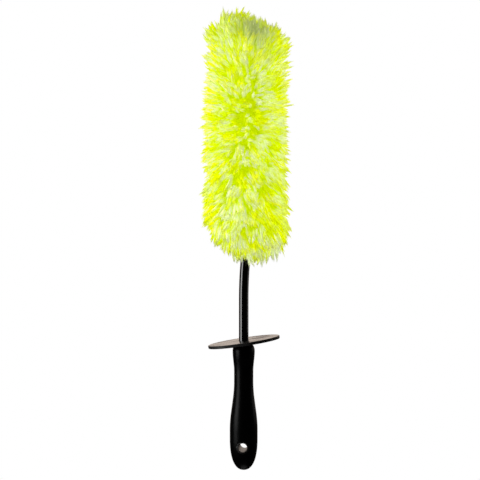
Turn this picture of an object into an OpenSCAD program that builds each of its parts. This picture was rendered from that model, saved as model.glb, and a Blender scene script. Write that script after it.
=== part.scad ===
// Wheel brush: a soft pile head on a flexible shaft, a turned handle with a hang hole,
// and a thin round splash guard that leans on the shaft just above the handle.
//
// Every height below is measured up from the butt of the handle, in millimetres.
// placed() then lowers the whole brush so that the origin is the centre of the hang hole.
// +Z runs from the handle to the head, and the hang hole runs along Y.

/* [Handle] */
// Radius of the palm swell
swell_r = 13.9; // [13:0.1:15]
// Height of the rounded butt, from its end to the full swell
butt_h = 32; // [26:1:34]
// Height where the swell starts to taper
swell_top = 40; // [38:1:44]
// Radius of the waist that the forefinger sits on
waist_r = 9.6; // [9:0.1:10.5]
// Height where the waist starts
waist_bottom = 88; // [82:1:92]
// Height where the waist ends
waist_top = 98; // [94:1:102]
// Radius of the bulge under the guard
bulge_r = 11.1; // [10.6:0.1:12]
// Height of the bulge's widest line
bulge_h = 119; // [116:1:119]
// Height of the handle's top lip
handle_h = 125; // [124.5:0.1:125.4]
// Thickness of the soft skin moulded over the rigid core
skin = 1.5; // [1:0.1:1.8]

/* [Hang hole] */
// Radius of the hang hole
hole_r = 4.4; // [4:0.05:5]
// Height of the hang hole's centre
hole_h = 24; // [22:1:28]
// Radius of the rigid boss around the hang hole
boss_r = 6.2; // [5.9:0.1:7]
// Half the length of the hang hole's straight wall, between its two countersinks
hole_half_l = 12.2; // [11.6:0.1:12.4]

/* [Shaft] */
// Radius of the flexible shaft
shaft_r = 4.75; // [4.5:0.05:5]
// Height of the shaft's foot, deep in the handle
shaft_foot = 62; // [55:1:66]
// Height of the shaft's top end, inside the head
shaft_top = 424; // [418:1:426]
// Height where the shaft starts to bend sideways
bend_start = 170; // [170:1:180]
// Radius of the bend's arc
bend_radius = 460; // [400:10:900]
// Height of the stop bead where the bend ends and the head begins
bead_h = 212; // [210:1:212]
// Radius of the stop bead
bead_r = 6.4; // [6:0.1:7]
// Radius of the keying ribs on the shaft's foot
rib_r = 6.1; // [5.6:0.1:6.4]

/* [Guard] */
// Radius of the splash guard
guard_r = 36; // [30:1:40]
// Lean of the guard to the left, in degrees
guard_lean = 8.5; // [6:0.5:9]
// Height of the guard's upper face on the shaft's axis
guard_h = 129.3; // [129:0.1:130]
// Thickness of the guard's plate
guard_t = 2; // [1.6:0.1:2.2]
// Height of the guard's turned-down rim, over all
rim_h = 3; // [2.4:0.1:3.2]
// Outer radius of the hub under the guard
hub_r = 7.5; // [7.3:0.1:7.6]
// Height of the hub's lower end, inside the handle's seat
hub_foot = 122.5; // [122.4:0.1:122.8]

/* [Head] */
// Radius of the foam sleeve that the cover is pulled over
foam_r = 21; // [18:0.5:24]
// Height of the foam's lower end
foam_foot = 237; // [236:1:240]
// Height of the foam's upper end
foam_top = 430; // [430:1:434]
// Thickness of the knitted backing
backing_t = 1.2; // [0.8:0.1:1.4]
// Height of the sewn end panel's upper face
panel_h = 438; // [437:0.5:440]
// Height of the cover's gathered neck
neck_foot = 216; // [214:1:218]
// Widest radius of the pile
pile_r = 40.5; // [36:0.5:44]
// Height of the lowest pile
pile_foot = 212; // [210:1:213]
// Height of the highest pile
pile_top = 457; // [455:1:462]

/* [Hidden] */
$fn = 96;

// Handle outline
butt_power = 2.4;
curve_steps = 8;
seat_r = 7.9;
seat_floor = 122;
seat_lip_w = bulge_r - seat_r;
mouth_l = 3;
mouth_flare = 2.2;

// Shaft: it bends along one arc up to the bead, and runs upright from there
bend_angle = asin((bead_h - bend_start) / bend_radius);
bead_t = 6;
rib_h = 3;
rib_count = 3;
rib_pitch = 9;

// Guard: the bore runs on the shaft, and a groove in it holds a rubber ring
running_gap = 0.08;
bore_r = shaft_r + running_gap;
ring_gap = 0.02;
ring_section_r = 0.8;
ring_centre_r = shaft_r + ring_gap + ring_section_r;
ring_h = 125.5;
groove_r = shaft_r + ring_gap + 2 * ring_section_r + 0.08;
groove_h = 1.8;
rim_w = 2.2;
edge = 0.5;
foot_edge = 0.5;
corner_steps = 4;

// Head: the sideways place of its axis, and the pieces under the pile
head_x = bend_radius * (1 - cos(bend_angle));
backing_r = foam_r + backing_t;
shoulder_h = 246;
neck_h = 229;
neck_r = 7;
collar_r = 9;
cap_r = 7.5;
cap_foot = 412;
seam_t = 1.6;
seam_w = 7;
seam_angle = -62;
end_seam_w = 1.4;
end_seam_h = 1.5;
hem_h = 4;
hem_t = 1.4;
tie_foot = 222;
tie_w = 3.6;
tie_t = 1.1;
tie_head = [5, 6, 5.4];
tie_tail = [2.6, 1.2, 3];
skirt_r = 14;
pile_foot_h = 26;
side_foot = 250;
side_top = 410;
shoulder_top = 422;
waist_dip = 1.4;
big = 100;

module placed() {
    translate([0, 0, -hole_h]) children();
}

// ---- Handle -------------------------------------------------------------------------------

// A quarter of a rounded butt: a superellipse from the axis out to the swell
function butt_points(inset) = [
    for (i = [0 : curve_steps])
        let (t = 90 * i / curve_steps)
        [(swell_r - inset) * pow(sin(t), 2 / butt_power),
         butt_h - (butt_h - inset) * pow(cos(t), 2 / butt_power)]
];

// A smooth S from one radius to another: half a cosine wave
function ease_points(r0, z0, r1, z1) = [
    for (i = [0 : curve_steps])
        let (t = i / curve_steps)
        [r0 + (r1 - r0) * (1 - cos(180 * t)) / 2, z0 + (z1 - z0) * t]
];

// The rounded top: a quarter ellipse from the bulge in to the seat
function dome_points(inset) = [
    for (i = [1 : curve_steps])
        let (t = 90 * i / curve_steps)
        [seat_r + (seat_lip_w - inset) * cos(t), bulge_h + (handle_h - bulge_h - inset) * sin(t)]
];

// The handle's whole outline, drawn smaller by an inset for the core
function handle_points(inset) = concat(
    butt_points(inset),
    ease_points(swell_r - inset, swell_top, waist_r - inset, waist_bottom),
    ease_points(waist_r - inset, waist_top, bulge_r - inset, bulge_h),
    dome_points(inset),
    [[0, handle_h - inset]]
);

module handle_solid(inset) {
    rotate_extrude() polygon(handle_points(inset));
}

// A round bar along Y through the hang hole
module hole_bar(r) {
    translate([0, 0, hole_h]) rotate([90, 0, 0]) cylinder(r = r, h = big, center = true);
}

// The shallow countersink at each mouth of the hang hole
module hole_mouths() {
    for (side = [-1, 1])
        translate([0, side * hole_half_l, hole_h]) rotate([-90 * side, 0, 0])
            cylinder(r1 = hole_r, r2 = hole_r + mouth_flare, h = mouth_l);
}

module seat() {
    translate([0, 0, seat_floor]) cylinder(r = seat_r, h = handle_h);
}

// The rigid moulding: the boss around the hang hole reaches the outside of the skin
module handle_core() {
    color([0.10, 0.10, 0.11]) placed() difference() {
        union() {
            handle_solid(skin);
            intersection() {
                handle_solid(0);
                hole_bar(boss_r);
            }
        }
        hole_bar(hole_r);
        hole_mouths();
        seat();
        shaft_root();
    }
}

// The soft skin around the core
module handle_grip() {
    color([0.05, 0.05, 0.05]) placed() difference() {
        handle_solid(0);
        handle_solid(skin);
        hole_bar(boss_r);
        seat();
    }
}

// ---- Shaft --------------------------------------------------------------------------------

// The straight foot, with the ribs that key it into the handle
module shaft_root() {
    translate([0, 0, shaft_foot]) cylinder(r = shaft_r, h = bend_start - shaft_foot);
    for (i = [0 : rib_count - 1])
        translate([0, 0, shaft_foot + rib_pitch * (i + 0.5)]) cylinder(r = rib_r, h = rib_h);
}

// The visible bend, which turns towards +X
module bend_arc() {
    translate([bend_radius, 0, bend_start]) rotate([90, 0, 180])
        rotate_extrude(angle = bend_angle) translate([bend_radius, 0]) circle(r = shaft_r);
}

// The bead that the cover's hem rests on: half its section, with softened edges
module stop_bead() {
    translate([head_x, 0, bead_h]) rotate_extrude() polygon([
        [0, -bead_t / 2], [bead_r - 1, -bead_t / 2], [bead_r, 1 - bead_t / 2],
        [bead_r, bead_t / 2 - 1], [bead_r - 1, bead_t / 2], [0, bead_t / 2]
    ]);
}

// The upright length inside the head, which starts inside the bead
module head_rod() {
    translate([head_x, 0, bead_h + 1]) cylinder(r = shaft_r, h = shaft_top - bead_h - 1);
}

module shaft() {
    color([0.03, 0.03, 0.03]) placed() {
        shaft_root();
        bend_arc();
        stop_bead();
        head_rod();
    }
}

// ---- Guard --------------------------------------------------------------------------------

module leaning() {
    translate([0, 0, guard_h]) rotate([0, -guard_lean, 0]) children();
}

// A rounded corner of the plate's section: an arc about a centre, from one angle to another
function corner(x, y, r, from, to) = [
    for (i = [0 : corner_steps])
        let (t = from + (to - from) * i / corner_steps)
        [x + r * cos(t), y + r * sin(t)]
];

// Half of the plate's section: flat on top, with a turned-down rim and round edges
module plate_section() {
    polygon(concat(
        [[0, 0]],
        corner(guard_r - edge, -edge, edge, 90, 0),
        corner(guard_r - foot_edge, foot_edge - rim_h, foot_edge, 0, -90),
        corner(guard_r - rim_w + foot_edge, foot_edge - rim_h, foot_edge, -90, -180),
        [[guard_r - rim_w, -guard_t], [0, -guard_t]]
    ));
}

module hub() {
    difference() {
        translate([0, 0, hub_foot]) cylinder(r = hub_r, h = guard_h - hub_foot + guard_t);
        leaning() translate([0, 0, -guard_t / 2]) cylinder(r = 2 * hub_r, h = big);
    }
}

module guard_disc() {
    color([0.06, 0.05, 0.05]) placed() difference() {
        union() {
            leaning() rotate_extrude() plate_section();
            hub();
        }
        translate([0, 0, hub_foot - guard_t]) cylinder(r = bore_r, h = big);
        translate([0, 0, ring_h - groove_h / 2]) cylinder(r = groove_r, h = groove_h);
    }
}

// The rubber ring in the hub that grips the shaft
module guard_o_ring() {
    color([0.12, 0.12, 0.12]) placed() translate([0, 0, ring_h])
        rotate_extrude() translate([ring_centre_r, 0]) circle(r = ring_section_r);
}

// ---- Inside the head ----------------------------------------------------------------------

module on_head_axis() {
    translate([head_x, 0, 0]) children();
}

// A solid of revolution about the head's axis, bored for the shaft
module around_shaft() {
    placed() difference() {
        on_head_axis() children();
        head_rod();
    }
}

// The outline of the gathered cover: a straight tube that rounds in to a narrow neck
function cover_points(r, neck, foot) = concat(
    [for (i = [0 : curve_steps])
        let (t = 90 * i / curve_steps)
        [neck + (r - neck) * cos(t), shoulder_h - (shoulder_h - neck_h) * sin(t)]],
    [[neck, foot]]
);

module cover_solid(r, neck, foot, top) {
    rotate_extrude() polygon(concat([[0, top], [r, top]], cover_points(r, neck, foot), [[0, foot]]));
}

// The collar that stops the foam from sliding down the shaft
module foam_collar() {
    color([0.15, 0.15, 0.16]) around_shaft() intersection() {
        translate([0, 0, foam_foot - 5]) cylinder(r = collar_r, h = 5);
        cover_solid(foam_r, neck_r - backing_t, neck_foot, foam_top);
    }
}

module seam_strip() {
    rotate([0, 0, seam_angle]) translate([foam_r - seam_t, -seam_w / 2, shoulder_h + 2])
        cube([seam_t * 2, seam_w, foam_top - shoulder_h - 2]);
}

module foam_sleeve() {
    color([0.80, 0.80, 0.74]) around_shaft() difference() {
        intersection() {
            translate([0, 0, foam_foot]) cylinder(r = foam_r, h = foam_top - foam_foot);
            cover_solid(foam_r, neck_r - backing_t, neck_foot, foam_top);
        }
        seam_strip();
        translate([0, 0, cap_foot]) cylinder(r = cap_r, h = big);
    }
}

// The cap that keeps the end of the shaft off the wheel
module tip_cap() {
    color([0.12, 0.12, 0.13]) around_shaft()
        translate([0, 0, cap_foot]) cylinder(r = cap_r, h = foam_top - cap_foot);
}

module tip_pad() {
    color([0.80, 0.80, 0.74]) placed() on_head_axis() difference() {
        translate([0, 0, foam_top]) cylinder(r = foam_r, h = panel_h - backing_t - foam_top);
        end_ring();
    }
}

// The knitted tube, open at the top where the end panel is sewn in
module backing_tube() {
    color([0.80, 0.92, 0.16]) around_shaft() difference() {
        cover_solid(backing_r, neck_r, neck_foot, panel_h);
        difference() {
            cover_solid(foam_r, neck_r - backing_t, foam_foot - 5, panel_h + 1);
            translate([0, 0, neck_foot]) cylinder(r = neck_r, h = foam_foot - 5 - neck_foot);
        }
    }
}

module backing_end() {
    color([0.80, 0.92, 0.16]) placed() on_head_axis()
        translate([0, 0, panel_h - backing_t]) cylinder(r = foam_r, h = backing_t);
}

module side_seam() {
    color([0.66, 0.78, 0.10]) placed() on_head_axis() intersection() {
        seam_strip();
        cylinder(r = foam_r, h = foam_top);
    }
}

module end_ring() {
    translate([0, 0, panel_h - backing_t - end_seam_h]) difference() {
        cylinder(r = foam_r, h = end_seam_h);
        translate([0, 0, -1]) cylinder(r = foam_r - end_seam_w, h = end_seam_h + 2);
    }
}

module end_seam() {
    color([0.66, 0.78, 0.10]) placed() on_head_axis() end_ring();
}

// The folded hem at the mouth of the cover
module hem_band() {
    color([0.70, 0.82, 0.12]) placed() on_head_axis() translate([0, 0, neck_foot]) difference() {
        cylinder(r = neck_r + hem_t, h = hem_h);
        translate([0, 0, -1]) cylinder(r = neck_r, h = hem_h + 2);
    }
}

// The tie that cinches the neck of the cover to the shaft, with its head and its cut tail
module cable_tie() {
    color([0.10, 0.10, 0.10]) placed() on_head_axis() difference() {
        union() {
            translate([0, 0, tie_foot]) cylinder(r = neck_r + tie_t, h = tie_w);
            translate([-tie_head[0] / 2, neck_r, tie_foot + (tie_w - tie_head[2]) / 2])
                cube([tie_head[0], tie_head[1] - 1, tie_head[2]]);
            translate([tie_head[0] / 2, neck_r + tie_head[1] / 3, tie_foot + (tie_w - tie_tail[2]) / 2])
                cube(tie_tail);
        }
        translate([0, 0, tie_foot - 1]) cylinder(r = neck_r, h = tie_w + 2);
    }
}

// ---- Pile ---------------------------------------------------------------------------------

// The pile's outline: a round foot that hangs over the neck, a gently waisted side, a round end
function pile_foot_points() = [
    for (i = [0 : curve_steps])
        let (t = 90 * i / curve_steps)
        [skirt_r + (pile_r - skirt_r) * pow(sin(t), 0.7),
         pile_foot + pile_foot_h * (1 - pow(cos(t), 0.8))]
];

function pile_side_points() = [
    for (i = [0 : curve_steps])
        let (t = i / curve_steps)
        [pile_r - waist_dip * (1 - cos(360 * t)) / 2, side_foot + (side_top - side_foot) * t]
];

function pile_end_points() = [
    for (i = [0 : curve_steps])
        let (t = 90 * i / curve_steps)
        [pile_r * pow(cos(t), 0.8), shoulder_top + (pile_top - shoulder_top) * pow(sin(t), 1.1)]
];

module pile_solid() {
    rotate_extrude() polygon(concat(
        [[0, pile_foot]], pile_foot_points(), pile_side_points(), pile_end_points()
    ));
}

module pile_tube() {
    color([0.86, 0.95, 0.20]) placed() on_head_axis() difference() {
        pile_solid();
        cover_solid(backing_r, neck_r, neck_foot, panel_h + 1);
        translate([0, 0, pile_foot - 1]) cylinder(r = skirt_r, h = neck_h + 5 - pile_foot);
        translate([0, 0, panel_h]) cylinder(r = big, h = big);
    }
}

module pile_end() {
    color([0.84, 0.93, 0.28]) placed() on_head_axis() intersection() {
        pile_solid();
        translate([0, 0, panel_h]) cylinder(r = big, h = big);
    }
}

handle_core();
handle_grip();
shaft();
guard_disc();
guard_o_ring();
foam_collar();
foam_sleeve();
tip_cap();
tip_pad();
backing_tube();
backing_end();
side_seam();
end_seam();
hem_band();
cable_tie();
pile_tube();
pile_end();
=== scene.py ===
# %% [markdown]
# # A wheel brush
# A wheel brush has a long head of soft yellow-green pile on a flexible black rod, a turned
# handle with a hang hole, and a thin round guard that keeps dirty water off the hand.
# The CAD model holds the sizes and the motion. This notebook adds what the eye sees: the pile,
# the moulded skins, and a finish for every piece. Shapes are worked out in millimetres above the
# handle's butt, and place() turns them into the frame's metres. Finishes and lights use metres.

# %% Load the frame
import math
import bpy
import numpy as np
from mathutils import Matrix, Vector


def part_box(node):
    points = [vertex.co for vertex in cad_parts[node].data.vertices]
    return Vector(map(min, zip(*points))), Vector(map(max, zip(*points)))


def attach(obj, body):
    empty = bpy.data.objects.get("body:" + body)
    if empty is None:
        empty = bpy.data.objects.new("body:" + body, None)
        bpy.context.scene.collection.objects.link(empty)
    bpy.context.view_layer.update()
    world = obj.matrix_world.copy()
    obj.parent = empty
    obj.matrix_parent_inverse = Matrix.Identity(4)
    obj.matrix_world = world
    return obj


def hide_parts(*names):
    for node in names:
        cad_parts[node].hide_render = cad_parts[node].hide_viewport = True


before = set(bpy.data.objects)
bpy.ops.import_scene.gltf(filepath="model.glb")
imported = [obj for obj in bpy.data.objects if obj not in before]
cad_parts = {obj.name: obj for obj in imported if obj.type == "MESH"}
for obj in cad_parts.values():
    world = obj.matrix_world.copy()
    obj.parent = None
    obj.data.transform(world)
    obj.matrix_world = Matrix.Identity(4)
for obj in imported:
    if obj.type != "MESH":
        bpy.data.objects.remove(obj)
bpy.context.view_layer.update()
MM = 0.001
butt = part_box("handle_grip")[0].z


def place(points):
    """Millimetres above the butt become metres in the frame: scaled, then lowered to the butt."""
    return points * MM + np.array([0.0, 0.0, butt])


def height(z):
    """A height in the frame, in metres, as millimetres above the butt."""
    return (z - butt) / MM


# %% [markdown]
# ## The camera
# The brush stands upright, seen square on from its middle height by a long lens, a step to the
# right of front. A long lens from a metre away keeps the two ends the same size.

# %% Place the camera
CAMERA_DISTANCE = 1.07
CAMERA_TURN = math.radians(5)
FRAME_HEIGHT = 0.480
SENSOR = 36.0
AIM = Vector((-0.0037, 0.0, butt + 0.2295))
camera = bpy.data.objects.new("camera", bpy.data.cameras.new("camera"))
bpy.context.scene.collection.objects.link(camera)
camera.data.sensor_width = SENSOR
camera.data.lens = SENSOR * CAMERA_DISTANCE / FRAME_HEIGHT
back = Vector((math.sin(CAMERA_TURN), -math.cos(CAMERA_TURN), 0.0))
camera.location = AIM + back * CAMERA_DISTANCE
camera.rotation_euler = (-back).to_track_quat("-Z", "Y").to_euler()
bpy.context.scene.camera = camera
bpy.context.scene.view_settings.view_transform = "Standard"
print("lens mm:", round(camera.data.lens, 1))

# %% [markdown]
# ## Shader arithmetic
# A finish is a small program made of nodes. Three classes keep it readable. A Value is one output
# of a node, and ordinary arithmetic on it adds Math nodes. A Tree makes any other node: the
# settings go on first, then the sockets. A Finish is the tree of one material, with the few
# patterns that the finishes of this brush share.

# %% A value between two nodes
class Value:
    """One number, colour or vector on its way between shader nodes."""

    def __init__(self, tree, socket):
        self.tree = tree
        self.socket = socket

    def math(self, operation, first, second):
        """A Math node on two values, either of which may be a plain number."""
        return self.tree.node("ShaderNodeMath", {"operation": operation}, {0: first, 1: second})

    def __add__(self, other):
        return self.math("ADD", self, other)

    def __sub__(self, other):
        return self.math("SUBTRACT", self, other)

    def __rsub__(self, other):
        return self.math("SUBTRACT", other, self)

    def __mul__(self, other):
        return self.math("MULTIPLY", self, other)

    __radd__ = __add__
    __rmul__ = __mul__

    def between(self, low, high):
        """0 below low, 1 above high, and a smooth step from one to the other."""
        return self.tree.node(
            "ShaderNodeMapRange", {"interpolation_type": "SMOOTHSTEP"}, {0: self, 1: low, 2: high}
        )

    def ramp(self, low, high, first, last):
        """first below low, last above high, and a straight line from one to the other."""
        return self.tree.node("ShaderNodeMapRange", {}, {0: self, 1: low, 2: high, 3: first, 4: last})


# %% A tree of nodes
class Tree:
    """A node tree, filled by calls rather than by hand in the shader editor."""

    def __init__(self, tree):
        self.tree = tree

    def plug(self, value, socket):
        """Links a Value, or writes a plain number or colour on the socket."""
        if isinstance(value, Value):
            self.tree.links.new(value.socket, socket)
        elif isinstance(value, tuple) and len(value) == 3 and socket.type == "RGBA":
            socket.default_value = (*value, 1.0)
        else:
            socket.default_value = value

    def node(self, kind, settings, inputs, output=0):
        """Adds a node with its settings and sockets, and gives one of its outputs as a Value."""
        made = self.tree.nodes.new(kind)
        for key, value in settings.items():
            setattr(made, key, value)
        for key, value in inputs.items():
            self.plug(value, made.inputs[key])
        return Value(self, made.outputs[output])


# %% A material with its patterns
class Finish(Tree):
    """A material with one Principled shader, and the nodes that drive it."""

    def __init__(self, name, **sockets):
        self.material = bpy.data.materials.new(name)
        self.material.use_nodes = True
        super().__init__(self.material.node_tree)
        self.shader = self.tree.nodes["Principled BSDF"]
        self.set(**sockets)

    def set(self, **sockets):
        """Sets the shader's sockets; base_color stands for Base Color."""
        for key, value in sockets.items():
            label = key.replace("_", " ").title().replace("Ior", "IOR")
            self.plug(value, self.shader.inputs[label])

    def place(self):
        """The point on the piece, in metres, in the frame the piece was made in."""
        return self.node("ShaderNodeTexCoord", {}, {}, "Object")

    def moved(self, **sockets):
        """The point after a Mapping node, whose sockets are Location, Rotation and Scale."""
        return self.node("ShaderNodeMapping", {}, {"Vector": self.place(), **sockets})

    def from_axis(self, x=0.0):
        """The distance, in metres, from the upright line at x."""
        flat = self.moved(Scale=(1.0, 1.0, 0.0), Location=(-x, 0.0, 0.0))
        return self.node("ShaderNodeVectorMath", {"operation": "LENGTH"}, {0: flat}, "Value")

    def noise(self, size, detail=3.0, scale=(1.0, 1.0, 1.0)):
        """Soft random patches about as wide as size, in metres; a scale stretches them."""
        inputs = {"Vector": self.moved(Scale=scale), "Scale": 1.0 / size, "Detail": detail}
        return self.node("ShaderNodeTexNoise", {}, inputs)

    def attribute(self, name):
        """A number that the mesh holds at each point."""
        return self.node("ShaderNodeAttribute", {"attribute_name": name}, {}, "Fac")

    def blend(self, factor, first, second):
        """A colour from first, at 0, to second, at 1; a Mix node keeps its colours in 6, 7 and 2."""
        inputs = {0: factor, 6: first, 7: second}
        return self.node("ShaderNodeMix", {"data_type": "RGBA"}, inputs, 2)

    def bump(self, amount, depth):
        """Relief of that depth, in metres, where amount goes from 0 to 1."""
        self.set(normal=self.node("ShaderNodeBump", {}, {"Height": amount, "Distance": depth}))


# %% [markdown]
# ## The black plastics
# Three blacks meet on this brush. The skin of the handle is a satin rubber with a fine moulded
# grain, the rod is a glossy plastic with faint draw marks along its length, and the guard is
# glossy with fine marks that run round it. What tells them apart is the gloss, so the roughness
# and the relief vary and the colour hardly does.

# %% Finishes of the skin and the rod
JET = (0.0004, 0.0004, 0.0004)


def soft_touch():
    """Satin rubber: a grain of tiny pits, and wider patches that hands have polished."""
    finish = Finish("soft_touch_rubber", specular_ior_level=0.08)
    polish = finish.noise(0.018, 2.0).between(0.35, 0.7)
    grain = finish.noise(0.0006, 2.0)
    finish.set(base_color=finish.blend(polish, JET, (0.0010, 0.0009, 0.0009)))
    finish.set(roughness=0.30 - polish * 0.05 + grain * 0.05)
    finish.bump(grain, 0.000008)
    return finish


def rod_gloss():
    """Glossy black: fine draw marks along the rod, and a few dull scuffs."""
    finish = Finish("rod_gloss_plastic", specular_ior_level=0.8)
    drawn = finish.noise(0.0009, 3.0, (1.0, 1.0, 0.01))
    scuffs = finish.noise(0.008, 1.0, (1.0, 1.0, 0.3)).between(0.60, 0.80)
    finish.set(base_color=finish.blend(scuffs, JET, (0.0015, 0.0015, 0.0014)))
    finish.set(roughness=0.08 + drawn * 0.03 + scuffs * 0.05)
    finish.bump(drawn, 0.0000015)
    return finish


SOFT_TOUCH = soft_touch()
ROD_GLOSS = rod_gloss()
print("made:", SOFT_TOUCH.material.name, ROD_GLOSS.material.name)

# %% Finishes of the guard and the core
MARKS_PER_METRE = 1400.0
WORN_FROM, WORN_TO = 0.0350, 0.0357


def guard_gloss():
    """Glossy black with a warm cast: marks that run round the plate, and dull wear near its rim."""
    finish = Finish("guard_gloss_plastic", specular_ior_level=0.55)
    away = finish.from_axis()
    rings = finish.node("ShaderNodeTexNoise", {"noise_dimensions": "1D"},
                        {"W": away, "Scale": MARKS_PER_METRE, "Detail": 3.0})
    rim = away.between(WORN_FROM, WORN_TO)
    smears = finish.noise(0.012, 4.0, (0.35, 1.0, 1.0)).between(0.35, 0.7)
    worn = smears * 0.6 + rim * 0.3
    finish.set(base_color=finish.blend(worn, (0.0006, 0.0005, 0.0005), (0.003, 0.0025, 0.002)))
    finish.set(roughness=0.08 + smears * 0.40 + rim * 0.5)
    finish.bump(rings, 0.000001)
    return finish


def core_plastic():
    """Plain black moulded plastic, a touch duller than the skin, with a fine spark texture."""
    finish = Finish("core_moulded_plastic")
    grain = finish.noise(0.0004, 2.0)
    cloud = finish.noise(0.01, 3.0)
    # The warm brown of these near-blacks is a painted reflection: it stands in for the warm light
    # mirrored by the hang hole's wall; cloud is a random tone.
    finish.set(base_color=finish.blend(cloud, (0.003, 0.0026, 0.0024), (0.008, 0.007, 0.006)))
    finish.set(roughness=0.30 + grain * 0.12)
    finish.bump(grain, 0.00001)
    return finish


GUARD_GLOSS = guard_gloss()
CORE_PLASTIC = core_plastic()
print("made:", GUARD_GLOSS.material.name, CORE_PLASTIC.material.name)

# %% [markdown]
# ## The finishes inside the head
# Under the pile there is a foam sleeve, a knitted backing, its seams and hem, a tie and a few
# moulded parts. They show from below or when the head is taken apart, so each gets a finish too:
# foam has open cells, a knit has rows of stitches, and a seam has slanting threads.

# %% Finishes of the foam, the cloth and the tie
CELLS_PER_METRE = 900.0
BAND = 0.32  # about how far apart the bands of a wave texture are at scale 1, in metres


def foam_cells():
    """Open-cell foam: small round cells with thin bright walls, painted darker inside as shade in the
    hollows.
    """
    finish = Finish("open_cell_foam", roughness=0.9, sheen_weight=0.2)
    cells = finish.node("ShaderNodeTexVoronoi", {"feature": "DISTANCE_TO_EDGE"},
                        {"Vector": finish.place(), "Scale": CELLS_PER_METRE})
    pore = cells.between(0.0, 0.18)
    age = finish.noise(0.02, 3.0)
    depth = finish.blend(age, (0.52, 0.50, 0.38), (0.66, 0.62, 0.44))
    # Painted shade: the cells' hollows take the darker depth colours and the walls the pale one; age
    # is a random yellowing.
    finish.set(base_color=finish.blend(pore, (0.80, 0.78, 0.66), depth))
    finish.bump(1 - pore, 0.0003)
    return finish


def knit(name, light, dark, row=0.0016, slant=0.0):
    """Knitted or sewn cloth: waves a row apart and slanting waves 1.6 rows apart, added up, with
    painted shade in the low rows.
    """
    finish = Finish(name, roughness=0.85, sheen_weight=0.35)
    wave = {"Vector": finish.moved(Rotation=(0.0, slant, slant)), "Distortion": 0.6, "Detail": 1.0}
    rows = finish.node("ShaderNodeTexWave", {"bands_direction": "Z"}, {**wave, "Scale": BAND / row})
    ribs = finish.node("ShaderNodeTexWave", {"bands_direction": "DIAGONAL"},
                       {**wave, "Scale": BAND / (1.6 * row)})
    stitch = rows * 0.6 + ribs * 0.4
    # Painted shade: where the stitches sit low, the cloth takes the dark colour, so the grooves read
    # shaded.
    finish.set(base_color=finish.blend(stitch, dark, light))
    finish.bump(stitch, 0.0003)
    return finish


def tie_nylon():
    """Black nylon tie: a faint row of teeth, a millimetre apart, and a dull, dusty skin."""
    finish = Finish("tie_nylon", roughness=0.5)
    teeth = finish.node("ShaderNodeTexWave", {"bands_direction": "X"},
                        {"Vector": finish.place(), "Scale": BAND / MM})
    dust = finish.noise(0.003, 4.0)
    finish.set(base_color=finish.blend(dust, (0.008, 0.008, 0.008), (0.03, 0.03, 0.028)))
    finish.bump(teeth, 0.0001)
    return finish


FOAM = foam_cells()
BACKING_KNIT = knit("backing_knit", (0.62, 0.80, 0.06), (0.34, 0.46, 0.02))
SEAM_THREAD = knit("seam_thread", (0.58, 0.74, 0.05), (0.26, 0.36, 0.02), row=0.0011, slant=0.7)
TIE_NYLON = tie_nylon()
print("made:", [finish.material.name for finish in (FOAM, BACKING_KNIT, SEAM_THREAD, TIE_NYLON)])

# %% Put a finish on each CAD node
CAD_FINISHES = {
    "handle_core": CORE_PLASTIC, "guard_disc": GUARD_GLOSS, "guard_o_ring": SOFT_TOUCH,
    "foam_collar": CORE_PLASTIC, "tip_cap": CORE_PLASTIC, "foam_sleeve": FOAM, "tip_pad": FOAM,
    "backing_tube": BACKING_KNIT, "backing_end": BACKING_KNIT, "hem_band": BACKING_KNIT,
    "side_seam": SEAM_THREAD, "end_seam": SEAM_THREAD, "cable_tie": TIE_NYLON,
}
for name, finish in CAD_FINISHES.items():
    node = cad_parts[name]
    node.data.materials.clear()
    node.data.materials.append(finish.material)
print("CAD nodes with a finish:", len(CAD_FINISHES))

# %% [markdown]
# ## Surfaces from arrays
# Every new piece below is a grid of points: rows along a profile, columns round it. Numpy works
# out the whole grid at once, and these cells turn it into a mesh. A quad joins two neighbours in
# one row to the same two in the next, and a fan of triangles closes an end.

# %% Join the points of a grid
def around(columns):
    """That many angles, evenly round a circle."""
    return np.arange(columns) * 2 * np.pi / columns


def grid_quads(rows, columns):
    """Quads of a grid that closes on itself along its columns."""
    here = np.arange(rows * columns).reshape(rows, columns)
    right = np.roll(here, -1, axis=1)
    return np.stack([here[:-1], right[:-1], right[1:], here[1:]], axis=-1).reshape(-1, 4)


def fan(pole, ring):
    """Triangles from each pair of neighbours on a ring to a pole."""
    return np.stack([ring, np.roll(ring, -1), np.full(len(ring), pole)], -1)


def closed_tube(grid):
    """Quads between the rows of a grid, and a fan at each end, to a pole amid that end's row."""
    rows, columns = grid.shape[:2]
    count = rows * columns
    first = np.arange(columns)[::-1]
    last = np.arange(count - columns, count)
    points = np.concatenate([grid.reshape(-1, 3), grid[[0, -1]].mean(axis=1)])
    return points, [grid_quads(rows, columns), fan(count, first), fan(count + 1, last)]


print("a 3 by 8 tube has faces:", sum(len(f) for f in closed_tube(np.zeros((3, 8, 3)))[1]))

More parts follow.
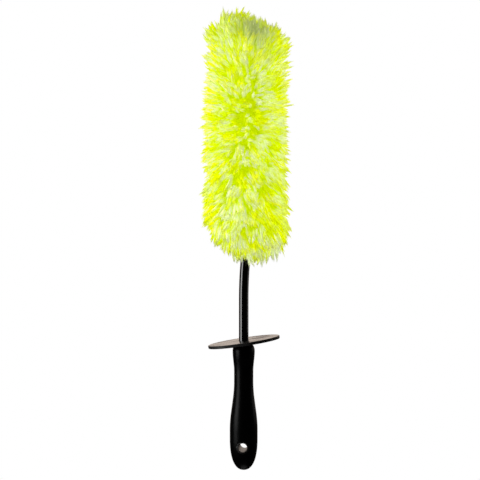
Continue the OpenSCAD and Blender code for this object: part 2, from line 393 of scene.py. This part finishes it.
# %% Turn arrays into a mesh
def make_piece(name, points, faces, finish, body, sharp=None):
    """A mesh object from points in millimetres and a list of face arrays, riding on a body."""
    mesh = bpy.data.meshes.new(name)
    counts = np.concatenate([np.full(len(f), f.shape[1]) for f in faces])
    corners = np.concatenate([f.ravel() for f in faces]).astype(np.int32)
    starts = (np.cumsum(counts) - counts).astype(np.int32)
    mesh.vertices.add(len(points))
    mesh.vertices.foreach_set("co", place(points).astype(np.float32).ravel())
    mesh.loops.add(len(corners))
    mesh.loops.foreach_set("vertex_index", corners)
    mesh.polygons.add(len(counts))
    mesh.polygons.foreach_set("loop_start", starts)
    mesh.polygons.foreach_set("use_smooth", np.ones(len(counts), bool))
    mesh.update(calc_edges=True)
    mesh.validate()
    if sharp:
        mesh.set_sharp_from_angle(angle=math.radians(sharp))
    mesh.materials.append(finish.material)
    piece = bpy.data.objects.new(name, mesh)
    bpy.context.scene.collection.objects.link(piece)
    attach(piece, body)
    print(name, "faces:", len(counts))
    return piece


def add_number(piece, name, values):
    """One number for each point of the mesh, for the finish to read."""
    numbers = piece.data.attributes.new(name, "FLOAT", "POINT")
    numbers.data.foreach_set("value", values.astype(np.float32))


# %% [markdown]
# ## The handle's skin
# The handle is turned: one outline spun about its axis. The butt is a quarter of a superellipse,
# which is fuller than an ellipse, the swell and the waist meet in half cosine waves, and the top
# is a quarter ellipse. The hang hole cuts through that grid, so near the hole the square grid is
# bent until its inner square becomes a circle. Solidify then gives the skin its thickness.

# %% The handle's outline
SWELL, WAIST, BULGE, SEAT = 13.9, 9.6, 11.1, 7.9
BUTT_H, SWELL_TOP, WAIST_LOW, WAIST_HIGH, BULGE_H = 32.0, 40.0, 88.0, 98.0, 119.0
BUTT_POWER = 2.4
HANDLE_H = height(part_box("handle_grip")[1].z)


def handle_radius(z):
    """Radius at a height: superellipse butt, straight swell, cosine ease to the waist and out."""
    butt_part = 1 - (np.clip(BUTT_H - z, 0, BUTT_H) / BUTT_H) ** BUTT_POWER
    down = np.clip((z - SWELL_TOP) / (WAIST_LOW - SWELL_TOP), 0, 1)
    out = np.clip((z - WAIST_HIGH) / (BULGE_H - WAIST_HIGH), 0, 1)
    eased = SWELL + (WAIST - SWELL) * (1 - np.cos(np.pi * down)) / 2
    eased = eased + (BULGE - WAIST) * (1 - np.cos(np.pi * out)) / 2
    return eased * butt_part ** (1 / BUTT_POWER)


def handle_rows(hole, half):
    """Heights of the grid's rows: by angle on the butt, even near the hole, then a few mm apart."""
    turn = np.linspace(0.03, 1, 18) * np.arccos(((BUTT_H - hole + half) / BUTT_H) ** (BUTT_POWER / 2))
    low = BUTT_H * (1 - np.cos(turn) ** (2 / BUTT_POWER))
    near = np.linspace(hole - half, hole + half, 21)
    high = np.linspace(hole + half, BULGE_H, 60)
    return np.concatenate([low[:-1], near[:-1], high])


print("handle mm high:", round(HANDLE_H, 1), "and across:", 2 * SWELL)

# %% The grid round the hang hole
HOLE_Z = height(0.0)
BOSS_R = 6.2
PATCH = 9.0
PATCH_TURN = np.radians(37.5)
INNER = 0.7
COLUMNS = 96


def around_hole(z, angle):
    """The spun outline, whose square rings near a mouth of the hole ease into circles inwards."""
    across = np.arcsin(np.sin(angle)) / PATCH_TURN
    along = (z - HOLE_Z) / PATCH
    ring = np.maximum(abs(across), abs(along))
    reach = np.hypot(across, along) + 1e-9
    outer = np.clip((ring - INNER) / (1 - INNER), 0, 1)
    x = outer * handle_radius(z) * np.sin(angle) + (1 - outer) * BOSS_R * across / reach
    z = outer * z + (1 - outer) * (HOLE_Z + BOSS_R * along / reach)
    y = np.sqrt(np.maximum(handle_radius(z) ** 2 - x ** 2, 0)) * np.where(np.cos(angle) >= 0, -1, 1)
    return np.stack([x, y, z], -1), ring


def top_dome(angle):
    """A quarter ellipse from the bulge in to the guard's seat, spun about the axis."""
    turn = np.linspace(0, np.pi / 2, 10)[1:, None]
    radius = SEAT + (BULGE - SEAT) * np.cos(turn)
    z = BULGE_H + (HANDLE_H - BULGE_H) * np.sin(turn)
    return np.stack([radius * np.sin(angle), -radius * np.cos(angle), z + 0 * angle], -1)


def handle_skin():
    """Wall and dome without the quads inside the hole, and a fan that closes the butt."""
    z, angle = handle_rows(HOLE_Z, PATCH), around(COLUMNS)
    wall, ring = around_hole(*np.meshgrid(z, angle, indexing="ij"))
    dome = top_dome(angle)
    points = np.concatenate([wall.reshape(-1, 3), dome.reshape(-1, 3), [[0, 0, 0]]])
    keep = np.ones(len(points), bool)
    keep[:ring.size] = ring.ravel() > INNER - 0.001
    quads = grid_quads(len(z) + len(dome), COLUMNS)
    quads = quads[keep[quads].all(axis=1)]
    butt_fan = fan(len(points) - 1, np.arange(COLUMNS)[::-1])
    used = np.unique(np.concatenate([quads.ravel(), butt_fan.ravel()]))
    new = np.full(len(points), -1)
    new[used] = np.arange(len(used))
    return points[used], [new[quads], new[butt_fan]]


print("hang hole mm above the butt:", round(HOLE_Z, 1))

# %% Make the handle's skin
SKIN_THICK = 1.5
EDGE_ROUND = 0.15
points, faces = handle_skin()
skin = make_piece("grip_skin", points, faces, SOFT_TOUCH, "root")
wall = skin.modifiers.new("skin thickness", "SOLIDIFY")
wall.thickness = SKIN_THICK * MM
wall.offset = -1
rim = skin.modifiers.new("soft edges", "BEVEL")
rim.width = EDGE_ROUND * MM
rim.segments = 3
rim.limit_method = "ANGLE"
rim.angle_limit = math.radians(50)
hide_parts("handle_grip")

# %% [markdown]
# ## The rod
# The rod is one moulding: ribs that key it into the handle, a straight length that the guard
# slides on, one gentle arc, and a bead that the cover's hem rests on. It is a radius carried
# along a path. Two raised hair lines down its sides are where the mould's halves met.

# %% The flexible rod
ROD_R, RIB_R, BEAD_R, END_R = 4.75, 6.1, 6.4, 3.9
FOOT = height(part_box("shaft")[0].z)
ROD_TOP = height(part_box("shaft")[1].z)
CHAMFER, RIB_PITCH, RIB_LONG, STEP = 0.8, 9.0, 3.0, 0.01
BEND_START, BEND_END, BEND_R = 170.0, 212.0, 460.0
RIBS_HIGH, BEAD_HALF, ABOVE_BEAD = 30.0, 3.2, 8.0
BEAD = ((-3.0, BEAD_R - 1), (-2.0, BEAD_R), (2.0, BEAD_R), (3.0, BEAD_R - 1), (BEAD_HALF, ROD_R))
LINE_RISE, LINE_TURN = 0.08, 0.08
ROD_COLUMNS = 64


def rod_stations():
    """Pairs of height and radius; a rib or the bead has a pair of rows at each of its edges."""
    rows = [(FOOT, END_R), (FOOT + CHAMFER, ROD_R)]
    for rib in range(3):
        low = FOOT + RIB_PITCH * (rib + 0.5)
        high = low + RIB_LONG
        rows += [(low, ROD_R), (low + STEP, RIB_R), (high, RIB_R), (high + STEP, ROD_R)]
    rows += [(z, ROD_R) for z in np.linspace(FOOT + RIBS_HIGH, BEND_END - BEAD_HALF, 60)]
    rows += [(BEND_END + away, radius) for away, radius in BEAD]
    rows += [(z, ROD_R) for z in np.linspace(BEND_END + ABOVE_BEAD, ROD_TOP - CHAMFER, 12)]
    return np.array(rows + [(ROD_TOP, END_R)])


def rod():
    """Circles square to a path: straight, then an arc of the bend's radius, then upright."""
    z, r = rod_stations().T[..., None]
    turn = np.arcsin(np.clip(z - BEND_START, 0, BEND_END - BEND_START) / BEND_R)
    lean = np.where(z > BEND_END, 0, turn)
    centre = BEND_R * (1 - np.cos(turn))
    angle = around(ROD_COLUMNS)
    radius = r + LINE_RISE * np.exp(-(np.sin(angle) / LINE_TURN) ** 2)
    out = radius * np.cos(angle)
    return closed_tube(np.stack(
        [centre + out * np.cos(lean), radius * np.sin(angle), z - out * np.sin(lean)], -1))


points, faces = rod()
rod_piece = make_piece("flexible_rod", points, faces, ROD_GLOSS, "root", sharp=40)
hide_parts("shaft")

# %% [markdown]
# ## The ground of the pile
# Long pile is knitted into a stretchy ground. Most of the ground is out of sight under the
# tufts, but it closes the gaps between them, and it rounds in to the neck that the tie cinches.
# It is one outline spun about the head's axis: from over the end panel down the inside to the
# neck, then up the outside to the crown. This head isn't quite round or level, so the outer wall
# is pushed about a little.

# %% The outline of the ground
panel_low, panel_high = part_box("backing_end")
HEAD_X = (panel_low.x + panel_high.x) / 2 / MM
BACKING_R = (panel_high.x - panel_low.x) / 2 / MM + 1.3
PANEL_Z = height(panel_high.z)
NECK_R, NECK_Z, SHOULDER_Z = 7.2, 227.0, 247.0
GROUND_R, GROUND_TOP, CROWN_Z = 29.0, 425.0, 441.5
POLE_R = 1.0
SIDE_LOW = SHOULDER_Z + 4
NECK_LOW = NECK_Z - 2
WAIST_IN = 1.2
SHOULDER_ROW, SOFT_ROW = 5, 7


def ground_outline():
    """Inside pole and wall, neck, quarter ellipse shoulder, waisted side, quarter ellipse crown."""
    turn = np.linspace(0, np.pi / 2, 14)
    inner = [(POLE_R, PANEL_Z + 0.3), (BACKING_R, PANEL_Z + 0.3), (BACKING_R, SHOULDER_Z + 1)]
    neck = [(NECK_R, NECK_Z + 2)]
    shoulder = np.stack([NECK_R + (GROUND_R - NECK_R) * np.sin(turn),
                         SIDE_LOW - (SIDE_LOW - NECK_LOW) * np.cos(turn)], -1)
    sides = np.linspace(SIDE_LOW, GROUND_TOP, 60)[1:-1]
    bow = np.sin(np.pi * (sides - SHOULDER_Z) / (GROUND_TOP - SHOULDER_Z)) ** 2
    waist = np.stack([GROUND_R - WAIST_IN * bow, sides], -1)
    crown_z = GROUND_TOP + (CROWN_Z - GROUND_TOP) * np.sin(turn)
    crown = np.stack([GROUND_R * np.cos(turn), crown_z], -1)
    crown[-1, 0] = POLE_R
    return np.concatenate([inner, neck, shoulder, waist, crown])


print("head's axis at x mm:", round(HEAD_X, 1), "rows in the outline:", len(ground_outline()))

# %% How the head departs from round
SEED = 11
PHASES = 6.28
PINCH_Z, PINCH_SPAN, PINCH_SHIFT, PINCH = 402.0, 30.0, 2.6, 0.06
TOP_FROM, LOW_FROM, FADE = 395.0, 275.0, 45.0
SAG_RIGHT, SAG_LEFT, SAG_LOW, SHIFT_LOW, CORE_R = 0.24, 0.06, 0.18, 3.0, 12.0


def bumps(a, z, count, size, rng):
    """Smooth noise round the head: a sum of waves with random directions and phases."""
    total = np.zeros_like(a)
    for _ in range(count):
        turns = rng.integers(-5, 6)
        total += np.sin(turns * a + z / size * rng.uniform(-2, 2) + rng.uniform(0, PHASES))
    return total / math.sqrt(count)


def lopsided(points):
    """Pinches the head under its crown, and slopes crown and shoulder down to the right."""
    x, z = points[..., 0] - HEAD_X, points[..., 2]
    pinch = np.exp(-((z - PINCH_Z) / PINCH_SPAN) ** 2)
    top = np.clip((z - TOP_FROM) / FADE, 0, 1) ** 2
    low = np.clip((LOW_FROM - z) / FADE, 0, 1) * np.clip(np.abs(x) / CORE_R, 0, 1)
    sink = top * (SAG_RIGHT * np.maximum(x, 0) + SAG_LEFT * np.minimum(x, 0)) + low * SAG_LOW * x
    push = pinch * (PINCH_SHIFT - PINCH * x) + low * SHIFT_LOW
    return points + np.stack([push, 0 * x, -sink], -1)


def parting(points):
    """1 where the crown's seam shows through the pile, and 0 beyond a centimetre or so from it."""
    panel = (points - [HEAD_X + 11.5, -29.0, 437.0]) / [13.0, 16.0, 15.0]
    side = (points - [HEAD_X + 18.0, -26.0, 418.0]) / [7.0, 14.0, 13.0]
    return np.exp(-(panel ** 2).sum(axis=-1) ** 1.5) + 0.45 * np.exp(-(side ** 2).sum(axis=-1))


print("the parting is at x, y, z mm:", round(HEAD_X + 11.5, 1), -29, 437)

# %% The ground's surface
GROUND_COLUMNS = 128
BUMP_HIGH, BUMP_SIZE, BUMP_WAVES = 0.7, 9.0, 9


def ground():
    """The outline spun about the head's axis, with low soft bumps on its outer wall."""
    rng = np.random.default_rng(SEED)
    r, z = ground_outline().T
    zz, aa = np.meshgrid(z, around(GROUND_COLUMNS), indexing="ij")
    outer = np.arange(len(z))[:, None] >= SOFT_ROW
    soft = outer & (r[:, None] > CORE_R)
    radius = r[:, None] + soft * BUMP_HIGH * bumps(aa, zz, BUMP_WAVES, BUMP_SIZE, rng)
    points = np.stack([HEAD_X + radius * np.cos(aa), radius * np.sin(aa), zz], -1)
    return closed_tube(np.where(outer[..., None], lopsided(points), points))


points, faces = ground()
print("ground mm high:", round(np.ptp(points[:, 2]), 1), "points:", len(points))

# %% [markdown]
# ## The finish of the pile
# The pile is polyester dyed with a fluorescent yellow-green, which gives back a little more
# light than falls on it. Each strand holds two numbers: how far along it a point is, and the
# strand's own shade, a random tone. Roots are deep and saturated, tips are lighter: the darker
# roots are painted shade deep in the pile. Some tufts are whitish near their tips: a painted
# sheen for light glancing off the fibres. The crown is painted darker: painted shade between
# tufts that stand on end. A little emission of the same colour stands partly for the
# fluorescence and partly for painted fill light that lifts the shade between the tufts.

# %% The pile's finish
# GLOW: emission partly for the dye's fluorescence and partly painted fill light that lifts the shade
# between the tufts.
GLOW = 0.31
OUTLINE_FROM, OUTLINE_TO = 0.037, 0.043
CROWN_LOW = panel_high.z - 0.022
CROWN_HIGH = CROWN_LOW + 0.030


def pile_finish(name):
    """Painted root shade, lighter tips, whitish painted sheen, painted crown shade, dull parting."""
    finish = Finish(name, roughness=0.7, specular_ior_level=0.12, emission_strength=GLOW)
    along = finish.attribute("along")
    shade = finish.attribute("shade")
    dull = finish.attribute("dull")
    patch = finish.noise(0.020, 2.0).between(0.38, 0.62)
    # Painted shade: the root colour is darker than the tip's, standing in for shade deep in the pile;
    # patch is a random dye tone.
    shaded_root = finish.blend(patch, (0.69, 0.81, 0.0), (0.74, 0.84, 0.0))
    tip = finish.blend(patch, (0.81, 0.92, 0.0), (0.88, 0.94, 0.0))
    colour = finish.blend(along.between(0.1, 0.8), shaded_root, tip)
    fine = finish.noise(0.004, 2.0)
    sheen_patches = finish.noise(0.013, 1.0)
    edge = finish.from_axis(HEAD_X * MM).between(OUTLINE_FROM, OUTLINE_TO)
    rise = finish.node("ShaderNodeSeparateXYZ", {}, {0: finish.place()}, "Z")
    crown = rise.between(CROWN_LOW, CROWN_HIGH)
    # pale: a painted sheen, whitish streaks and patches near the tips standing in for light glancing
    # off the fibres, weaker on the outer tips and the crown.
    pale = (shade * 0.65 + fine * 0.25 + sheen_patches * 0.65).between(0.66, 0.92) * along.between(0.15, 0.6)
    pale = pale * (1 - edge * 0.75) * (1 - crown * 0.35)
    colour = finish.blend(pale, colour, (0.84, 0.91, 0.56))
    # Painted shade on the crown: a darker, deeper green, strongest towards the roots, as if in the
    # shade between upright tufts.
    crown_shade = crown * (1 - along.between(0.45, 0.95) * 0.8) * 0.5
    colour = finish.blend(crown_shade, colour, (0.52, 0.68, 0.0))
    grey = finish.blend(shade, (0.42, 0.51, 0.10), (0.64, 0.71, 0.36))
    colour = finish.blend(dull, colour, grey)
    finish.set(base_color=colour, emission_color=colour)
    finish.material.cycles.emission_sampling = "NONE"
    return finish


PILE = pile_finish("pile_fibre")
ground_piece = make_piece("pile_ground", points, faces, PILE, "root")
add_number(ground_piece, "dull", parting(points))
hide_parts("pile_tube", "pile_end")

# %% [markdown]
# ## The tufts
# The pile is 68,400 strands in 3,600 tufts. Drawing each one by a curve would be slow, so numpy
# works out all the tufts at once, and their strands after that. Neighbouring tufts lean towards
# one of them, because long pile twists into locks. The lay parts a little above the middle of
# the head: higher up the tufts are brushed up, and lower down they hang. The lowest ones, the
# skirt, hang down over the neck.

# %% Where the tufts grow
TUFTS = 3600
SKIRT = 76
GOLDEN_TURN = 2.39996
TURN_JITTER = 0.25


def tuft_roots(rng):
    """Even random points on the ground's outer wall: rows by area, angles by the golden turn."""
    number = np.arange(TUFTS)
    r, z = ground_outline()[SHOULDER_ROW:].T
    step = np.hypot(np.diff(r), np.diff(z))
    area = np.concatenate([[0], np.cumsum(step * (r[1:] + r[:-1]) / 2)])
    even = (number - SKIRT + rng.uniform(-0.5, 0.5, TUFTS)) / (TUFTS - SKIRT)
    neck = rng.uniform(0.002, 0.012, TUFTS)
    where = np.where(number < SKIRT, neck, even.clip(0)) * area[-1]
    rise = np.interp(where, area, np.gradient(z))
    run = np.interp(where, area, np.gradient(r))
    angle = (number * GOLDEN_TURN + rng.normal(0, TURN_JITTER, TUFTS)) % (2 * np.pi)
    return np.interp(where, area, r), np.interp(where, area, z), np.arctan2(rise, run), angle


print("tufts:", TUFTS, "of which the skirt has", SKIRT)

# %% How the tufts lie and how long they are
UP = np.array([0.0, 0.0, 1.0])
LAY_TURN, LAY_SPAN = 350.0, 55.0
LAY, LAY_STRAY, SIDE_STRAY, SWIRL = 0.55, 0.28, 0.30, 0.28
SHORTEST, LONGEST, RIPPLE = 13.0, 18.8, 0.07
LONG_SHARE, LONG_GAIN = 0.12, 1.22
SKIRT_LOW, SKIRT_HIGH = 205, 217
WISP, WISP_GAIN = (HEAD_X - 11, -4, 441), 1.6


def unit(v):
    """Each vector divided by its length."""
    return v / np.maximum(np.linalg.norm(v, axis=-1, keepdims=True), 1e-9)


def tuft_directions(rng, z, tilt, angle, lay, skirt):
    """Square to the ground, tipped along the lay and aside by chance; the skirt points down."""
    out = np.stack([np.cos(angle), np.sin(angle), np.zeros(TUFTS)], -1)
    aside = np.cross(UP, out)
    along = out * np.cos(tilt)[:, None] + UP * np.sin(tilt)[:, None]
    normal = unit(np.cross(aside, along))
    stray = rng.normal(0, 1, (TUFTS, 2))
    swirl = bumps(angle, z, 12, 16.0, rng)[:, None]
    across = aside * (SIDE_STRAY * stray[:, :1] + SWIRL * swirl)
    direction = unit(normal + along * (LAY * lay + LAY_STRAY * stray[:, 1:]) + across)
    return np.where(skirt, unit(out * 0.25 - UP + 0.3 * across), direction), along, aside


def tuft_lengths(rng, root, z, angle, skirt):
    """Random between two lengths, rippled, a few longer, one wisp; the skirt ends at a height."""
    length = rng.uniform(SHORTEST, LONGEST, TUFTS) * (1 + RIPPLE * bumps(angle, z, 12, 6.0, rng))
    length *= np.where(rng.uniform(0, 1, TUFTS) < LONG_SHARE, LONG_GAIN, 1.0)
    length = np.where(skirt[:, 0], z - rng.uniform(SKIRT_LOW, SKIRT_HIGH, TUFTS), length)
    length[np.argmin(np.linalg.norm(root - WISP, axis=1))] *= WISP_GAIN
    return length


print("tufts mm long:", SHORTEST, "to", round(LONGEST * LONG_GAIN, 1))

# %% Gather the tufts into locks
LOCK = 8
CURL_LAY, CURL_ASIDE, CURL_SAG = 0.22, 0.14, 0.04
CLUMP, CLUMP_SKIRT = 0.34, 0.1
SHORT_AT_PARTING = 0.35


def tufts(rng):
    """Root, direction, length, curl, shade and angle of each tuft, its tip drawn to a leader's."""
    r, z, tilt, angle = tuft_roots(rng)
    root = lopsided(np.stack([HEAD_X + r * np.cos(angle), r * np.sin(angle), z], -1))
    lay = np.clip((z - LAY_TURN) / LAY_SPAN, -1, 1)[:, None]
    skirt = (np.arange(TUFTS) < SKIRT)[:, None]
    direction, along, aside = tuft_directions(rng, z, tilt, angle, lay, skirt)
    length = tuft_lengths(rng, root, z, angle, skirt)
    curl = along * lay * CURL_LAY + aside * rng.normal(0, CURL_ASIDE, (TUFTS, 1)) - UP * CURL_SAG
    tip = root + (direction + curl) * length[:, None]
    leader = rng.choice(TUFTS, TUFTS // LOCK, replace=False)
    near = leader[np.argmin(np.linalg.norm(root[:, None] - root[leader][None], axis=2), axis=1)]
    tip = tip + np.where(skirt, CLUMP_SKIRT, CLUMP) * (tip[near] - tip)
    curl = (tip - root) / length[:, None] - direction
    shade = 0.5 * rng.uniform(0, 1, TUFTS) + 0.5 * rng.uniform(0, 1, TUFTS)[near]
    return root, direction, length * (1 - SHORT_AT_PARTING * parting(root)), curl, shade, angle


rng = np.random.default_rng(SEED + 1)
data = tufts(rng)
print("mean length of a tuft, mm:", round(data[2].mean(), 1))

# %% [markdown]
# ## From tufts to strands
# A strand is a three-sided spike: rings at four stations along its path, and a point at the
# fifth. Its path starts near its tuft's root, curls as the tuft does, waves a little, and closes
# in on the tuft's axis, so that the strands of a tuft share one tip, apart from a few strays.

# %% The shape of a strand
STRANDS = 19
SIDES = 3
STATIONS = np.array([0.0, 0.3, 0.6, 0.84, 1.0])
GIRTH = np.array([0.50, 0.58, 0.46, 0.27])
RINGS = len(GIRTH)
POINTS_EACH = SIDES * RINGS + 1
SPREAD, GATHER = 2.3, 0.20
REACH_LOW, REACH_HIGH = 0.70, 1.06
STRAY_SHARE, STRAY_GAIN = 0.08, 2.6
WAVE, WAVES = 0.5, 1.1
OWN_SHADE = 0.2


def strands(which, data, rng):
    """Every strand of some tufts: a path from a spread root to a shared tip, and rings round it."""
    root, direction, length, curl, shade = (d[which] for d in data[:5])
    many = (len(which), STRANDS)
    side = unit(np.cross(direction, [0.3, 0.5, 0.81]))
    other = np.cross(direction, side)
    turn = rng.uniform(0, 2 * np.pi, many)
    spread = SPREAD * np.sqrt(rng.uniform(0, 1, many))
    offset = side[:, None] * np.cos(turn)[..., None] + other[:, None] * np.sin(turn)[..., None]
    reach = length[:, None] * rng.uniform(REACH_LOW, REACH_HIGH, many)
    stray = np.where(rng.uniform(0, 1, many) < STRAY_SHARE, STRAY_GAIN, 1.0)
    t = STATIONS[None, None, :, None]
    path = direction[:, None, None] * t + curl[:, None, None] * t ** 2
    path = path * reach[..., None, None]
    gather = 1 - (1 - GATHER * stray)[..., None, None] * t ** 0.8
    phase = rng.uniform(0, PHASES, (*many, 1, 1))
    wave = WAVE * np.sin(2 * np.pi * t * WAVES + phase) * t
    path = root[:, None, None] + path + offset[:, :, None] * (spread[..., None, None] * gather + wave)
    girth = GIRTH * rng.uniform(0.75, 1.25, (*many, 1))
    spin = (rng.uniform(0, 2 * np.pi, (*many, 1, 1)) + around(SIDES))[..., None]
    ring = side[:, None, None, None] * np.cos(spin) + other[:, None, None, None] * np.sin(spin)
    rings = path[:, :, :RINGS, None] + ring * girth[..., None, None]
    points = np.concatenate([rings.reshape(*many, -1, 3), path[:, :, RINGS:]], axis=2)
    own = shade[:, None] * (1 - OWN_SHADE) + OWN_SHADE * rng.uniform(0, 1, many)
    return points.reshape(-1, 3), np.repeat(own.ravel(), POINTS_EACH)


def strand_faces(count):
    """Quads between a strand's rings, a fan at its point and one face under it, for each strand."""
    quads = grid_quads(RINGS, SIDES)
    point = POINTS_EACH - 1
    base = np.arange(SIDES)[::-1][None]
    triangles = np.concatenate([fan(point, np.arange(point - SIDES, point)), base])
    starts = (np.arange(count) * POINTS_EACH)[:, None, None]
    return [(quads + starts).reshape(-1, 4), (triangles + starts).reshape(-1, 3)]


print("points in a strand:", POINTS_EACH, "faces:", sum(len(f) for f in strand_faces(1)))

# %% Grow the pile in long panels round the head, and the crown as one more
PANELS = 8
crown = data[0][:, 2] > PANEL_Z
sides = np.where(~crown)[0]
panels = np.array_split(sides[np.argsort(data[5][sides])], PANELS) + [np.where(crown)[0]]
total = 0
for number, which in enumerate(panels, 1):
    points, own = strands(which, data, rng)
    count = len(points) // POINTS_EACH
    last = number == len(panels)
    name = "pile_crown" if last else f"pile_panel_{number}"
    piece = make_piece(name, points, strand_faces(count), PILE, "root")
    add_number(piece, "shade", own)
    add_number(piece, "dull", parting(points))
    add_number(piece, "along", np.tile(np.append(np.repeat(STATIONS[:RINGS], SIDES), 1.0), count))
    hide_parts("pile_end" if last else "pile_tube")
    total += count
print("strands:", total)

# %% [markdown]
# ## Floor, backdrop and light
# The brush stands over a round pale floor in an endless white room. Black gloss shows only what
# it mirrors, so the room glows only high up behind the brush, where the top of the guard and the
# wall of the hang hole mirror it, and the blacks stay black. A broad softbox on the left draws
# the stripe on the rod, one behind on the right draws a thin edge light, and a weak one hangs
# overhead. The pile needs much more light than that, so three fills light it, and the gloss
# doesn't mirror them.

# %% The floor
FLOOR_R = 0.3
FLOOR_DROP = 0.8


def floor_disc():
    """A pale round floor: one ring of points, evenly round a circle, well below the butt."""
    angle = around(96)
    ring = [FLOOR_R * np.cos(angle), FLOOR_R * np.sin(angle), 0 * angle + butt - FLOOR_DROP]
    mesh = bpy.data.meshes.new("floor_disc")
    mesh.from_pydata(np.stack(ring, -1).tolist(), [], [list(range(len(angle)))])
    floor = bpy.data.objects.new("floor_disc", mesh)
    bpy.context.scene.collection.objects.link(floor)
    paper = Finish("pale_paper", roughness=0.9, emission_strength=1.0)
    fleck = paper.noise(0.05, 3.0)
    paper.set(base_color=paper.blend(fleck, (0.22, 0.22, 0.22), (0.26, 0.26, 0.26)))
    paper.set(emission_color=(1.0, 1.0, 1.0))
    mesh.materials.append(paper.material)
    return floor


print("floor mm across:", round(floor_disc().dimensions.x / MM))

# %% The room
WARM, WHITE = (1.0, 0.85, 0.74), (1.0, 1.0, 1.0)
BEHIND = (0.5, 0.95, 0.0, 1.0)
ABOVE = (-0.16, 0.18, 0.06, 1.0)
ROOM_DIM, ROOM_BRIGHT = 0.004, 1.2


def room():
    """World light: a warm wall high behind the brush, dim elsewhere, and white to the camera."""
    world = bpy.context.scene.world or bpy.data.worlds.new("room")
    bpy.context.scene.world = world
    world.use_nodes = True
    world.node_tree.nodes.clear()
    tree = Tree(world.node_tree)
    toward = tree.node("ShaderNodeTexCoord", {}, {}, "Generated")
    behind = tree.node("ShaderNodeSeparateXYZ", {}, {0: toward}, "Y").ramp(*BEHIND)
    above = tree.node("ShaderNodeSeparateXYZ", {}, {0: toward}, "Z").ramp(*ABOVE)
    strength = behind * above * (ROOM_BRIGHT - ROOM_DIM) + ROOM_DIM
    glow = tree.node("ShaderNodeBackground", {}, {"Color": WARM, "Strength": strength})
    plain = tree.node("ShaderNodeBackground", {}, {"Color": WHITE})
    seen = tree.node("ShaderNodeLightPath", {}, {}, "Is Camera Ray")
    mixed = tree.node("ShaderNodeMixShader", {}, {0: seen, 1: glow, 2: plain})
    tree.plug(mixed, world.node_tree.nodes.new("ShaderNodeOutputWorld").inputs["Surface"])
    return world


print("nodes in the room:", len(room().node_tree.nodes))

# %% The softboxes
LAMPS_AIM = Vector((0.0, 0.0, butt + 0.25))
# For each light: degrees right of front, degrees up, distance, width, height, radiance, and
# whether the gloss mirrors it.
LIGHTS = {
    "left_softbox": (-63, 5, 1.3, 0.72, 1.1, 5.2, True),
    "right_softbox": (112, 10, 1.3, 0.5, 1.0, 0.7, True),
    "top_softbox": (0, 66, 1.2, 0.8, 0.8, 0.2, True),
    "front_fill": (12, 5, 1.3, 0.6, 0.9, 1.7, False),
    "left_fill": (-100, 5, 1.2, 0.5, 0.9, 4.0, False),
    "right_fill": (90, 5, 1.2, 0.5, 0.9, 7.2, False),
}


def softbox(name, turn, rise, distance, width, tall, radiance, mirrored):
    """A rectangle of light at those angles, facing the head; its power is radiance, pi and area."""
    lamp = bpy.data.lights.new(name, "AREA")
    lamp.shape = "RECTANGLE"
    lamp.size, lamp.size_y = width, tall
    lamp.energy = radiance * math.pi * width * tall
    box = bpy.data.objects.new(name, lamp)
    bpy.context.scene.collection.objects.link(box)
    a, e = math.radians(turn), math.radians(rise)
    away = Vector((math.sin(a) * math.cos(e), -math.cos(a) * math.cos(e), math.sin(e)))
    box.location = LAMPS_AIM + away * distance
    box.rotation_euler = (-away).to_track_quat("-Z", "Y").to_euler()
    box.visible_camera = False
    box.visible_glossy = mirrored


for name, setting in LIGHTS.items():
    softbox(name, *setting)
print("lights:", len(LIGHTS))
